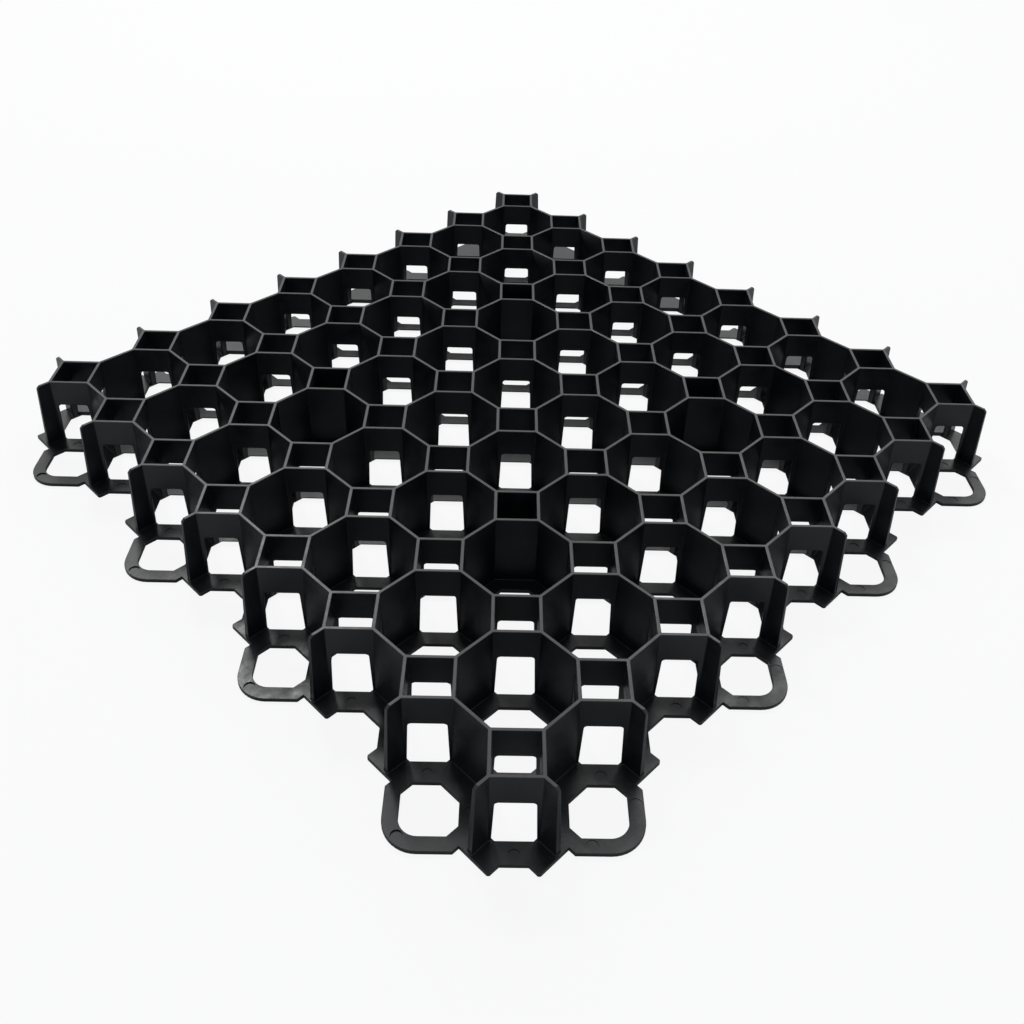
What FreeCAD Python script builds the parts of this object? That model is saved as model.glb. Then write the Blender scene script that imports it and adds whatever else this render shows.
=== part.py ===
import FreeCAD
import Part
import math
import os

# Grass paver grid: one injection moulding of black recycled polyethylene.
# Upright walls draw a pattern of octagon cells with small square cells between them,
# the squares turned 45 degrees to the edges of the tile. The walls stand on a base flange.
# Two neighbouring edges carry flat loops, and the other two carry raised plates,
# under which the loops of the next tile slide.

# Driving sizes, mm
PITCH = 62.5
SQUARES = 8
HEIGHT = 50.0
FLANGE = 2.5

# Walls, thicker at the foot so that the moulding leaves its tool
WALL_TOP = 2.0
WALL_FOOT = 3.3

# Flange left beside the foot of the walls, inside a cell and along the edges of the tile
CELL_LEDGE = 9.1
EDGE_LEDGE = 12.6
# Its corners on the edges of the tile are cut off
TIP_CUT = 1.0

# Windows in the walls of the small squares, open at the floor and narrower at the head
LINTEL = 18.6
JAMB_HEAD = 1.3
JAMB_FOOT = 0.2
# The corner posts between the windows are bevelled on the inside
POST_BEVEL = 1.0
# The floor between the posts is open, and wider underneath
FLOOR_FLARE = 2.2
# The squares this many from the edges, on both diagonals, have no windows
CLOSED_FROM_EDGE = 2

# Stub fins on the outermost squares, set back from the edge of the flange, with the top corner cut off
STUB_BACK_TOP = 3.65
STUB_BACK_FOOT = 1.25
STUB_CUT = 1.8

# Flat loops on the near edges, at every second place
LOOP_NOSE = 12.6
LOOP_BAND = 8.2
LOOP_BEND = 10.0

# Raised plates on the far edges, and their room for a loop
PLATE = 2.0
LOOP_PLAY = 0.6
LOOP_LIFT = 0.4
# The plates run this far into the walls, which lean away from them
PLATE_SEAT = 0.02

# Sizes that follow
ROOT2 = math.sqrt(2.0)
SPAN = PITCH * SQUARES
LAST = SQUARES - 1
EDGE = PITCH / 2.0
WALL_LENGTH = PITCH / (1.0 + ROOT2)
SQUARE_HALF = WALL_LENGTH / 2.0
SQUARE_IN = (WALL_LENGTH - WALL_FOOT) / 2.0
WINDOW_TOP = HEIGHT - LINTEL
WINDOW_FOOT = SQUARE_IN - JAMB_FOOT
WINDOW_HEAD = SQUARE_IN - JAMB_HEAD
POST_CORNER = SQUARE_IN * ROOT2 + POST_BEVEL
NOTCH_INSET = WALL_FOOT / 2.0 + EDGE_LEDGE
NOTCH = EDGE - NOTCH_INSET
LOOP_SIDE = NOTCH + LOOP_BAND
LOOP_BEND_OUT = LOOP_BEND + LOOP_BAND
LOOP_REACH = (LOOP_NOSE + LOOP_BAND) * ROOT2 - LOOP_BEND_OUT * (ROOT2 - 1.0)
PLATE_UNDER = FLANGE + LOOP_LIFT
PLATE_TOP = PLATE_UNDER + PLATE
# A cut runs this far past what it cuts
PAST = 1.0
# Points closer than this are one point
SAME = 0.001


def vec(x, y, z=0.0):
    return FreeCAD.Vector(x, y, z)


def half_wall(z):
    # Half the thickness of a wall at a height
    up = (z - FLANGE) / (HEIGHT - FLANGE)
    return (WALL_FOOT + (WALL_TOP - WALL_FOOT) * up) / 2.0


def octagon(inset):
    # Corner points of a cell's octagon, moved in from the middle of its walls
    flat = EDGE - inset
    slant = (PITCH / ROOT2 - SQUARE_HALF - inset) * ROOT2
    short = slant - flat
    return [
        (flat, -short), (flat, short), (short, flat), (-short, flat),
        (-flat, short), (-flat, -short), (-short, -flat), (short, -flat),
    ]


def square(inset):
    # Corner points of a small square, moved in from the middle of its walls
    m = SQUARE_HALF - inset
    return turned([(m, -m), (m, m), (-m, m), (-m, -m)])


def bevelled_square(half, corner):
    # A small square with its corners cut off at a distance from its middle
    side = corner * ROOT2 - half
    return turned([
        (half, -side), (half, side), (side, half), (-side, half),
        (-half, side), (-half, -side), (-side, -half), (side, -half),
    ])


def turned(points):
    # From a small square's own axes, along its walls, to the axes of the tile
    return [((x - y) / ROOT2, (x + y) / ROOT2) for x, y in points]


def ring(points, z=0.0):
    corners = [vec(x, y, z) for x, y in points]
    return Part.makePolygon(corners + corners[:1])


def moved(shape, x, y):
    copy = shape.copy()
    copy.translate(vec(x, y))
    return copy


def flat_face(outer, holes=()):
    return Part.makeFace([outer] + list(holes), "Part::FaceMakerBullseye")


def upright_face(section, y):
    # A face that stands across the y axis, from points of x and height
    corners = [vec(x, y, z) for x, z in section]
    return Part.Face(Part.makePolygon(corners + corners[:1]))


def prism(face, low, high):
    solid = face.extrude(vec(0, 0, high - low))
    solid.translate(vec(0, 0, low))
    return solid


def taper(low, low_z, high, high_z):
    # Solid between two outlines with as many corners, each side flat
    faces = [Part.Face(ring(low, low_z)), Part.Face(ring(high, high_z))]
    for k in range(len(low)):
        m = (k + 1) % len(low)
        foot = [vec(*low[k], low_z), vec(*low[m], low_z)]
        head = [vec(*high[m], high_z), vec(*high[k], high_z)]
        faces.append(Part.Face(Part.makePolygon(foot + head + foot[:1])))
    return Part.Solid(Part.Shell(faces))


def square_places():
    return [(i, j) for i in range(SQUARES) for j in range(SQUARES)]


def cell_places():
    return [(i, j) for i in range(LAST) for j in range(LAST)]


def closed_places():
    marks = (CLOSED_FROM_EDGE, LAST - CLOSED_FROM_EDGE)
    return [(i, j) for i in marks for j in marks]


def window_places():
    return [place for place in square_places() if place not in closed_places()]


class Side:
    # One edge of the tile, walked with the tile on the left.
    # A local point is a distance along the edge and a distance outwards.
    def __init__(self, start, along, looped):
        self.start = start
        self.along = along
        self.looped = looped

    def at(self, s, out):
        ax, ay = self.along
        x = self.start[0] + s * ax + out * ay
        y = self.start[1] + s * ay - out * ax
        return x, y


LOW = -EDGE
HIGH = SPAN - EDGE
SIDES = [
    Side((LOW, LOW), (1, 0), True),
    Side((HIGH, LOW), (0, 1), False),
    Side((HIGH, HIGH), (-1, 0), False),
    Side((LOW, HIGH), (0, -1), True),
]


def nose(side, place, half, slant, bend, way):
    # Edges of a round-tipped nose on one side of the outline: straight flanks, then slopes of 45 degrees.
    # way is 1 outwards and -1 inwards.
    tip = slant * ROOT2
    straight = tip - half
    touch = bend / ROOT2
    apex = tip - bend * (ROOT2 - 1.0)

    def p(s, out):
        return vec(*side.at(place + s, way * out))

    return [
        Part.LineSegment(p(-half, 0), p(-half, straight)),
        Part.LineSegment(p(-half, straight), p(-touch, tip - touch)),
        Part.Arc(p(-touch, tip - touch), p(0, apex), p(touch, tip - touch)),
        Part.LineSegment(p(touch, tip - touch), p(half, straight)),
        Part.LineSegment(p(half, straight), p(half, 0)),
    ]


def half_octagon(place, inset):
    flat, short = octagon(inset)[1]
    return [
        (place - flat, 0), (place - flat, -short), (place - short, -flat),
        (place + short, -flat), (place + flat, -short), (place + flat, 0),
    ]


def corner_points():
    flat, short = octagon(NOTCH_INSET)[1]
    return [(0, -flat), (short, -flat), (flat, -short), (flat, 0)]


def join_places():
    # Along an edge, the places of the loops or of the plates
    return [n * PITCH for n in range(1, SQUARES, 2)]


def open_places():
    # Along an edge, the places of the plain notches
    return [n * PITCH for n in range(2, SQUARES, 2)]


def flange_outline():
    curves = []
    end = None

    def line_to(point):
        nonlocal end
        if end is not None and (point - end).Length > SAME:
            curves.append(Part.LineSegment(end, point))
        end = point

    first = vec(*SIDES[0].at(*corner_points()[0]))
    for side in SIDES:
        for point in corner_points():
            line_to(vec(*side.at(*point)))
        for place in sorted(join_places() + open_places()):
            if place in open_places():
                for point in half_octagon(place, NOTCH_INSET):
                    line_to(vec(*side.at(*point)))
                continue
            if side.looped:
                run = nose(side, place, LOOP_SIDE, LOOP_NOSE + LOOP_BAND, LOOP_BEND_OUT, 1)
            else:
                run = pocket_run(side, place)
            line_to(run[0].StartPoint)
            curves.extend(run)
            end = run[-1].EndPoint
    line_to(first)
    return Part.Wire([curve.toShape() for curve in curves])


def pocket_run(side, place):
    # Room for the loop of the next tile, all round the loop by the same play
    half = LOOP_SIDE + LOOP_PLAY
    slant = LOOP_NOSE + LOOP_BAND + LOOP_PLAY
    return nose(side, place, half, slant, LOOP_BEND_OUT + LOOP_PLAY, -1)


def loop_hole(side, place):
    # The hole follows the notches inside the tile and the nose of the loop outside it
    run = nose(side, place, NOTCH, LOOP_NOSE, LOOP_BEND, 1)
    inner = [vec(*side.at(*point)) for point in half_octagon(place, NOTCH_INSET)][::-1]
    slopes = [curve.toShape() for curve in run[1:4]]
    ends = [run[3].EndPoint] + inner[1:-1] + [run[1].StartPoint]
    lines = [Part.LineSegment(a, b).toShape() for a, b in zip(ends, ends[1:])]
    return Part.Wire(slopes + lines)


def tip_places():
    # Corners of the flange on the edges of the tile, where no loop springs from them
    flat = octagon(NOTCH_INSET)[1][0]
    tips = []
    for side in SIDES:
        tips += [side.at(flat, 0), side.at(SPAN - flat, 0)]
        for place in open_places():
            tips += [side.at(place - flat, 0), side.at(place + flat, 0)]
    return tips


def stands_on(edge, places):
    # True of an upright edge over one of the places
    a = edge.firstVertex().Point
    b = edge.lastVertex().Point
    if math.hypot(a.x - b.x, a.y - b.y) > SAME:
        return False
    return any(math.hypot(a.x - x, a.y - y) < SAME for x, y in places)


def floor_tool():
    # Opening of the flange between the posts of a small square, wider underneath
    def plan(z):
        out = FLOOR_FLARE * (FLANGE - z) / FLANGE
        return bevelled_square(SQUARE_HALF + WALL_FOOT / 2.0 + out, POST_CORNER + out)

    return taper(plan(-PAST), -PAST, plan(FLANGE + PAST), FLANGE + PAST)


def make_flange():
    cell = ring(octagon(WALL_FOOT / 2.0 + CELL_LEDGE))
    closed = ring(square(WALL_FOOT / 2.0))
    holes = [moved(cell, (i + 0.5) * PITCH, (j + 0.5) * PITCH) for i, j in cell_places()]
    holes += [moved(closed, i * PITCH, j * PITCH) for i, j in closed_places()]
    holes += [loop_hole(side, n) for side in SIDES if side.looped for n in join_places()]
    flange = prism(flat_face(flange_outline(), holes), 0, FLANGE)
    tips = tip_places()
    sharp = [edge for edge in flange.Edges if stands_on(edge, tips)]
    flange = flange.makeChamfer(TIP_CUT, sharp)
    floor = floor_tool()
    return flange.cut([moved(floor, i * PITCH, j * PITCH) for i, j in window_places()])


def slab():
    # The block that the walls are cut from: its sides are the outer edges of the stub fins
    middle = LAST * PITCH / 2.0
    foot = middle + EDGE - STUB_BACK_FOOT
    top = middle + EDGE - STUB_BACK_TOP
    section = [(-foot, FLANGE), (foot, FLANGE), (top, HEIGHT), (-top, HEIGHT)]
    bar = upright_face(section, -SPAN).extrude(vec(0, 2.0 * SPAN))
    ridges = [e for e in bar.Edges if e.Length > SPAN and abs(e.CenterOfMass.z - HEIGHT) < SAME]
    bar = bar.makeChamfer(STUB_CUT, ridges)
    across = bar.copy()
    across.rotate(vec(0, 0), vec(0, 0, 1), 90)
    return moved(bar.common(across), middle, middle)


def window_plan(half):
    # A cross whose arms are the windows, its inner corners cut by the bevel of the posts
    end = SQUARE_HALF + WALL_FOOT / 2.0 + PAST
    bevel = POST_CORNER * ROOT2 - half
    quarter = [(end, -half), (end, half), (bevel, half), (half, bevel)]
    points = []
    for _ in range(4):
        points += quarter
        quarter = [(-y, x) for x, y in quarter]
    return turned(points)


def window_tool():
    lean = (WINDOW_FOOT - WINDOW_HEAD) / (WINDOW_TOP - FLANGE)
    low = window_plan(WINDOW_FOOT + lean * PAST)
    return taper(low, FLANGE - PAST, window_plan(WINDOW_HEAD), WINDOW_TOP)


def make_walls():
    low, high = FLANGE - PAST, HEIGHT + PAST
    cell = taper(octagon(half_wall(low)), low, octagon(half_wall(high)), high)
    room = taper(square(half_wall(low)), low, square(half_wall(high)), high)
    around = range(-1, SQUARES)
    rooms = [moved(cell, (i + 0.5) * PITCH, (j + 0.5) * PITCH) for i in around for j in around]
    rooms += [moved(room, i * PITCH, j * PITCH) for i, j in square_places()]
    walls = slab().cut(rooms)
    window = window_tool()
    return walls.cut([moved(window, i * PITCH, j * PITCH) for i, j in window_places()])


def make_plates():
    plates = []
    inset = half_wall(PLATE_TOP) - PLATE_SEAT
    for side in SIDES:
        if side.looped:
            continue
        for n in join_places():
            plan = ring([side.at(*point) for point in half_octagon(n, inset)])
            block = prism(flat_face(plan), FLANGE, PLATE_TOP)
            run = pocket_run(side, n)
            mouth = Part.LineSegment(run[-1].EndPoint, run[0].StartPoint)
            pocket = Part.Wire([curve.toShape() for curve in run + [mouth]])
            plates.append(block.cut(prism(flat_face(pocket), 0, PLATE_UNDER)))
    return plates


def make_paver():
    grid = make_walls().multiFuse([make_flange()] + make_plates()).removeSplitter()
    # Origin at the middle of the whole outline, on the ground
    middle = (SPAN - PITCH - LOOP_REACH) / 2.0
    grid.translate(vec(-middle, -middle, 0))
    return grid


def main():
    os.makedirs("parts", exist_ok=True)
    grid = make_paver()
    solid = grid.Solids[0] if len(grid.Solids) == 1 else grid
    solid.exportStep("parts/paver_grid.step")
    box = solid.BoundBox
    print("solids", len(grid.Solids), "faces", len(solid.Faces))
    print("volume cm3", round(solid.Volume / 1000.0, 1))
    print("box", [round(v, 3) for v in (box.XMin, box.YMin, box.ZMin, box.XMax, box.YMax, box.ZMax)])


main()
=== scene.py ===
import bmesh
import bpy
import math
from mathutils import Euler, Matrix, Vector


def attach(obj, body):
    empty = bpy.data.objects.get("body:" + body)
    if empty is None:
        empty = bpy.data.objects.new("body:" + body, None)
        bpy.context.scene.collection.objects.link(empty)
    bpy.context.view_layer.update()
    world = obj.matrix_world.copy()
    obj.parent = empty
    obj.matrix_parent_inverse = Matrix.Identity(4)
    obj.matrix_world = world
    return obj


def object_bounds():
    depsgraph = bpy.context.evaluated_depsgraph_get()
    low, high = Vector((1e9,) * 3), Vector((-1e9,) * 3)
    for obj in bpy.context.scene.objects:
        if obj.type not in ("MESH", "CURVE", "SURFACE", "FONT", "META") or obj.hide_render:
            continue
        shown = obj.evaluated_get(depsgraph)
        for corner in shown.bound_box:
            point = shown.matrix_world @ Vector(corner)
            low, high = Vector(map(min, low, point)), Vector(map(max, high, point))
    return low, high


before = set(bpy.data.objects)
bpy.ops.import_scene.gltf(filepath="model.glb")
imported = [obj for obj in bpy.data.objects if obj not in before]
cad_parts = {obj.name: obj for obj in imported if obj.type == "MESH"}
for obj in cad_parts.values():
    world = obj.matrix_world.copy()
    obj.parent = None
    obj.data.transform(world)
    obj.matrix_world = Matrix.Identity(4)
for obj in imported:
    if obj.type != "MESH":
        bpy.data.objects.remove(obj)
cad_low, cad_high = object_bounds()

MM = 0.001
ROOT2 = math.sqrt(2.0)
WHITE = (1.0, 1.0, 1.0, 1.0)

# Sizes of the paver grid, mm, as in its solid
PITCH = 62.5
SQUARES = 8
HEIGHT = 50.0
FLANGE = 2.5
WALL_TOP = 2.0
WALL_FOOT = 3.3
LINTEL = 18.6
JAMB_HEAD = 1.3
CLOSED_FROM_EDGE = 2
LOOP_NOSE = 12.6
LOOP_BAND = 8.2
LOOP_BEND = 10.0
EDGE = PITCH / 2.0
LAST = SQUARES - 1
SQUARE_HALF = PITCH / (1.0 + ROOT2) / 2.0
WINDOW_TOP = HEIGHT - LINTEL
WINDOW_HALF = SQUARE_HALF - WALL_FOOT / 2.0 - JAMB_HEAD
LOOP_HOLE_REACH = LOOP_NOSE * ROOT2 - LOOP_BEND * (ROOT2 - 1.0)
LOOP_REACH = LOOP_HOLE_REACH + LOOP_BAND
# The solid's origin is the middle of its outline, this far from the middle of the near corner's square
MIDDLE = (PITCH * LAST - LOOP_REACH) / 2.0

# Broken edges, mm and degrees, and how near two points of the solid are when they count as one
EDGE_BREAK = 0.3
EDGE_SEGMENTS = 2
EDGE_ANGLE = 30.0
SAME_POINT = 0.1

# Round corners of the window heads, mm, and how far they reach into the wall
HEAD_ROUND = 1.5
HEAD_STEPS = 4
HEAD_SEAT = 0.15

# Round pits that the ejector pins of the mould left in the flange, mm
PIN_RADIUS = 3.2
PIN_STEPS = 28
PIN_SHALLOW = 0.3
PIN_DEEP = 0.8
# The cutting discs stand this far out of the flange
PIN_CUT_PAST = 1.0
# On the flange beside the outer squares, from the middle of the square
PIN_FROM_SQUARE = 22.0
# On the front loops, two each, from the edge of the tile and from the middle of the loop
PIN_FRONT_OUT = 7.2
PIN_FRONT_ALONG = 16.4

# Patterns of the plastic, mm. The grain of the mould is finer than a pixel, so it is drawn coarser.
CLOUD_SIZE = 45.0
WORN_SIZE = 9.0
GRAIN_SIZE = 0.9
GRAIN_DEPTH = 0.2
# Roughness of its smoothest and its roughest patches
SHEEN_SMOOTH = 0.28
SHEEN_ROUGH = 0.44

# Studio floor, m, just below the tile, and the strength of the light from the room
FLOOR_HALF = 6.0
FLOOR_GAP = 0.2 * MM
ROOM_LIGHT = 0.35

# The photograph's view, from close above the near corner, cut out below the middle of the lens
CAMERA_PLACE = (-0.44391, -0.4261, 0.4742)
CAMERA_TURN = (56.297, -2.042, -45.46)
CAMERA_LENS = 37.804
CAMERA_SHIFT = (-0.0155, -0.1302)


def linear(code):
    # sRGB hex to the linear colour that shaders take
    channels = []
    for start in (0, 2, 4):
        value = int(code[start:start + 2], 16) / 255.0
        low = value / 12.92
        high = ((value + 0.055) / 1.055) ** 2.4
        channels.append(low if value <= 0.04045 else high)
    return (*channels, 1.0)


def add(tree, kind, links=(), settings=(), **values):
    # One node with its settings, socket values and incoming links
    node = tree.nodes.new(kind)
    for name, value in dict(settings).items():
        setattr(node, name, value)
    for name, value in values.items():
        node.inputs[name.replace("_", " ")].default_value = value
    for socket, source in dict(links).items():
        tree.links.new(source, node.inputs[socket])
    return node


def new_material(name):
    material = bpy.data.materials.new(name)
    material.use_nodes = True
    material.node_tree.nodes.clear()
    return material, material.node_tree


def moulded_polyethylene():
    # Black recycled polyethylene, injection moulded in a spark-eroded steel tool.
    # It gives a soft satin sheen over near black, faintly cloudy from the recycled stock
    # and a little uneven where the tile was rubbed.
    material, tree = new_material("black_polyethylene_moulded")
    place = {"Vector": add(tree, "ShaderNodeTexCoord").outputs["Object"]}
    cloud = add(tree, "ShaderNodeTexNoise", place, Scale=1.0 / (CLOUD_SIZE * MM), Detail=3.0, Roughness=0.6)
    tone = add(tree, "ShaderNodeMix", {"Factor": cloud.outputs["Fac"]}, {"data_type": "RGBA"})
    tone.inputs["A"].default_value = linear("03060b")
    tone.inputs["B"].default_value = linear("0a0f14")
    worn = add(tree, "ShaderNodeTexNoise", place, Scale=1.0 / (WORN_SIZE * MM), Detail=4.0, Roughness=0.65)
    grain = add(tree, "ShaderNodeTexNoise", place, Scale=1.0 / (GRAIN_SIZE * MM), Detail=2.0, Roughness=0.5)
    bump = add(
        tree, "ShaderNodeBump",
        {"Height": grain.outputs["Fac"]},
        Strength=0.12, Distance=GRAIN_DEPTH * MM,
    )
    sheen = add(
        tree, "ShaderNodeMapRange",
        {"Value": worn.outputs["Fac"]},
        From_Min=0.3, From_Max=0.7, To_Min=SHEEN_SMOOTH, To_Max=SHEEN_ROUGH,
    )
    shader = add(
        tree, "ShaderNodeBsdfPrincipled",
        {
            "Base Color": tone.outputs["Result"],
            "Roughness": sheen.outputs["Result"],
            "Normal": bump.outputs["Normal"],
        },
        IOR=1.5, Specular_IOR_Level=0.35,
    )
    add(tree, "ShaderNodeOutputMaterial", {"Surface": shader.outputs["BSDF"]})
    return material


def seen_white(tree, seen, mirrored):
    # Share of white that the camera sees, and the share that reflections and glass show
    rays = add(tree, "ShaderNodeLightPath")
    direct = add(tree, "ShaderNodeMath", {0: rays.outputs["Is Camera Ray"]}, {"operation": "MULTIPLY"})
    direct.inputs[1].default_value = seen
    shown = add(
        tree, "ShaderNodeMath",
        {0: rays.outputs["Is Glossy Ray"], 1: rays.outputs["Is Transmission Ray"]},
        {"operation": "MAXIMUM"},
    )
    shown = add(tree, "ShaderNodeMath", {0: shown.outputs["Value"]}, {"operation": "MULTIPLY"})
    shown.inputs[1].default_value = mirrored
    share = add(
        tree, "ShaderNodeMath",
        {0: direct.outputs["Value"], 1: shown.outputs["Value"]},
        {"operation": "MAXIMUM"},
    )
    return share.outputs["Value"]


def pale_floor():
    # Reflections show less of the white, so that the shade between the walls stays in them
    material, tree = new_material("studio_floor_matt")
    share = seen_white(tree, seen=0.9, mirrored=0.1)
    paint = add(tree, "ShaderNodeBsdfDiffuse", Color=linear("e6e6e6"))
    glow = add(tree, "ShaderNodeEmission", Color=WHITE, Strength=1.0)
    mixed = add(
        tree, "ShaderNodeMixShader",
        {0: share, 1: paint.outputs["BSDF"], 2: glow.outputs["Emission"]},
    )
    add(tree, "ShaderNodeOutputMaterial", {"Surface": mixed.outputs["Shader"]})
    return material


def lay_floor():
    half = FLOOR_HALF
    mesh = bpy.data.meshes.new("studio_floor")
    corners = [(-half, -half, 0.0), (half, -half, 0.0), (half, half, 0.0), (-half, half, 0.0)]
    mesh.from_pydata(corners, [], [(0, 1, 2, 3)])
    floor = bpy.data.objects.new("studio_floor", mesh)
    floor.location.z = cad_low.z - FLOOR_GAP
    bpy.context.scene.collection.objects.link(floor)
    mesh.materials.append(pale_floor())


def set_world():
    world = bpy.data.worlds.new("studio_room")
    bpy.context.scene.world = world
    world.use_nodes = True
    tree = world.node_tree
    tree.nodes.clear()
    room = add(tree, "ShaderNodeBackground", Color=linear("eef4ff"), Strength=ROOM_LIGHT)
    white = add(tree, "ShaderNodeBackground", Color=WHITE, Strength=1.0)
    share = seen_white(tree, seen=1.0, mirrored=1.0)
    mixed = add(
        tree, "ShaderNodeMixShader",
        {0: share, 1: room.outputs["Background"], 2: white.outputs["Background"]},
    )
    add(tree, "ShaderNodeOutputWorld", {"Surface": mixed.outputs["Shader"]})


def add_softbox(name, azimuth, elevation, distance, size, watts):
    # A soft light, size wide and high, that faces the middle of the tile
    light = bpy.data.lights.new(name, "AREA")
    light.shape = "RECTANGLE"
    light.size, light.size_y = size
    light.energy = watts
    lamp = bpy.data.objects.new(name, light)
    flat = math.cos(math.radians(elevation)) * distance
    lamp.location = (
        flat * math.cos(math.radians(azimuth)),
        flat * math.sin(math.radians(azimuth)),
        math.sin(math.radians(elevation)) * distance,
    )
    lamp.rotation_euler = (-Vector(lamp.location)).to_track_quat("-Z", "Y").to_euler()
    bpy.context.scene.collection.objects.link(lamp)


def set_camera():
    lens = bpy.data.cameras.new("photo_view")
    lens.sensor_fit = "HORIZONTAL"
    lens.sensor_width = 36.0
    lens.lens = CAMERA_LENS
    lens.shift_x, lens.shift_y = CAMERA_SHIFT
    lens.clip_start = 0.01
    lens.clip_end = 50.0
    camera = bpy.data.objects.new("photo_view", lens)
    camera.location = CAMERA_PLACE
    camera.rotation_euler = Euler([math.radians(v) for v in CAMERA_TURN], "XYZ")
    bpy.context.scene.collection.objects.link(camera)
    bpy.context.scene.camera = camera


def on_tile(x, y, z):
    # From the middle of the near corner's square to the frame of the solid
    return Vector((x - MIDDLE, y - MIDDLE, z)) * MM


def new_object(name, form):
    mesh = bpy.data.meshes.new(name)
    form.to_mesh(mesh)
    form.free()
    made = bpy.data.objects.new(name, mesh)
    bpy.context.scene.collection.objects.link(made)
    return made


def add_prism(form, low, high):
    # A closed prism between two like rings of points
    foot = [form.verts.new(point) for point in low]
    head = [form.verts.new(point) for point in high]
    form.faces.new(foot[::-1])
    form.faces.new(head)
    for k in range(len(foot)):
        m = (k + 1) % len(foot)
        form.faces.new((foot[k], foot[m], head[m], head[k]))


def square_places():
    return [(i, j) for i in range(SQUARES) for j in range(SQUARES)]


def closed_places():
    marks = (CLOSED_FROM_EDGE, LAST - CLOSED_FROM_EDGE)
    return [(i, j) for i in marks for j in marks]


def loop_places():
    return [n * PITCH - EDGE for n in range(1, SQUARES, 2)]


def pin_places():
    # Places of the pits, with their depths
    pins = []
    middle_of_band = EDGE + LOOP_HOLE_REACH + LOOP_BAND / 2.0
    for place in loop_places():
        pins.append((-middle_of_band, place, PIN_DEEP))
        for along in (-PIN_FRONT_ALONG, PIN_FRONT_ALONG):
            pins.append((place + along, -EDGE - PIN_FRONT_OUT, PIN_SHALLOW))
    off = PIN_FROM_SQUARE / ROOT2
    pins.append((-off, -off, PIN_SHALLOW))
    for n in range(SQUARES):
        pins.append((-off, n * PITCH + off, PIN_SHALLOW))
        pins.append((n * PITCH + off, -off, PIN_SHALLOW))
    for n in range(1, SQUARES):
        pins.append((-off, n * PITCH - off, PIN_SHALLOW))
        pins.append((n * PITCH - off, -off, PIN_SHALLOW))
    return pins


def make_pin_tool():
    # Discs that are cut out of the flange
    form = bmesh.new()
    turns = [2.0 * math.pi * k / PIN_STEPS for k in range(PIN_STEPS)]
    for x, y, depth in pin_places():
        ring = [(x + PIN_RADIUS * math.cos(turn), y + PIN_RADIUS * math.sin(turn)) for turn in turns]
        low = [on_tile(u, v, FLANGE - depth) for u, v in ring]
        high = [on_tile(u, v, FLANGE + PIN_CUT_PAST) for u, v in ring]
        add_prism(form, low, high)
    tool = new_object("pin_pits_tool", form)
    tool.hide_render = True
    return tool


def head_outline():
    # Corner of a window head, from the head to the jamb, with its seat in the wall
    seat = HEAD_SEAT
    centre = (WINDOW_HALF - HEAD_ROUND, WINDOW_TOP - HEAD_ROUND)
    outline = [(WINDOW_HALF + seat, WINDOW_TOP + seat), (centre[0], WINDOW_TOP + seat)]
    for k in range(HEAD_STEPS + 1):
        turn = math.pi / 2.0 * (1.0 - k / HEAD_STEPS)
        outline.append((centre[0] + HEAD_ROUND * math.cos(turn), centre[1] + HEAD_ROUND * math.sin(turn)))
    outline.append((WINDOW_HALF + seat, centre[1]))
    return outline


def make_window_rounds(plastic):
    up = (WINDOW_TOP - FLANGE) / (HEIGHT - FLANGE)
    half_wall = (WALL_FOOT + (WALL_TOP - WALL_FOOT) * up) / 2.0
    form = bmesh.new()
    for i, j in square_places():
        if (i, j) in closed_places():
            continue
        for quarter in range(4):
            turn = math.pi / 4.0 + quarter * math.pi / 2.0
            out = Vector((math.cos(turn), math.sin(turn)))
            for side in (-1.0, 1.0):
                along = Vector((-out.y, out.x)) * side
                # The side also turns the order of the rings, so that all faces look outward
                rings = []
                for depth in (SQUARE_HALF - side * half_wall, SQUARE_HALF + side * half_wall):
                    spots = [(out * depth + along * s, z) for s, z in head_outline()]
                    rings.append([on_tile(i * PITCH + p.x, j * PITCH + p.y, z) for p, z in spots])
                add_prism(form, *rings)
    rounds = new_object("window_head_rounds", form)
    rounds.data.materials.append(plastic)
    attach(rounds, "root")


def dress_grid():
    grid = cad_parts["paver_grid"]
    plastic = moulded_polyethylene()
    grid.data.materials.clear()
    grid.data.materials.append(plastic)
    weld = grid.modifiers.new("joined_faces", "WELD")
    weld.merge_threshold = SAME_POINT * MM
    edge = grid.modifiers.new("broken_edges", "BEVEL")
    edge.width = EDGE_BREAK * MM
    edge.segments = EDGE_SEGMENTS
    edge.limit_method = "ANGLE"
    edge.angle_limit = math.radians(EDGE_ANGLE)
    edge.use_clamp_overlap = False
    edge.loop_slide = False
    pits = grid.modifiers.new("pin_pits", "BOOLEAN")
    pits.operation = "DIFFERENCE"
    pits.solver = "MANIFOLD"
    pits.object = make_pin_tool()
    make_window_rounds(plastic)


dress_grid()
lay_floor()
set_world()
add_softbox("back_softbox", azimuth=41.0, elevation=46.0, distance=2.6, size=(3.4, 1.6), watts=27.0)
add_softbox("left_softbox", azimuth=72.0, elevation=51.0, distance=2.1, size=(0.3, 0.3), watts=10.5)
add_softbox("right_softbox", azimuth=17.0, elevation=52.0, distance=2.1, size=(0.6, 0.6), watts=5.0)
set_camera()
bpy.context.scene.view_settings.view_transform = "Standard"
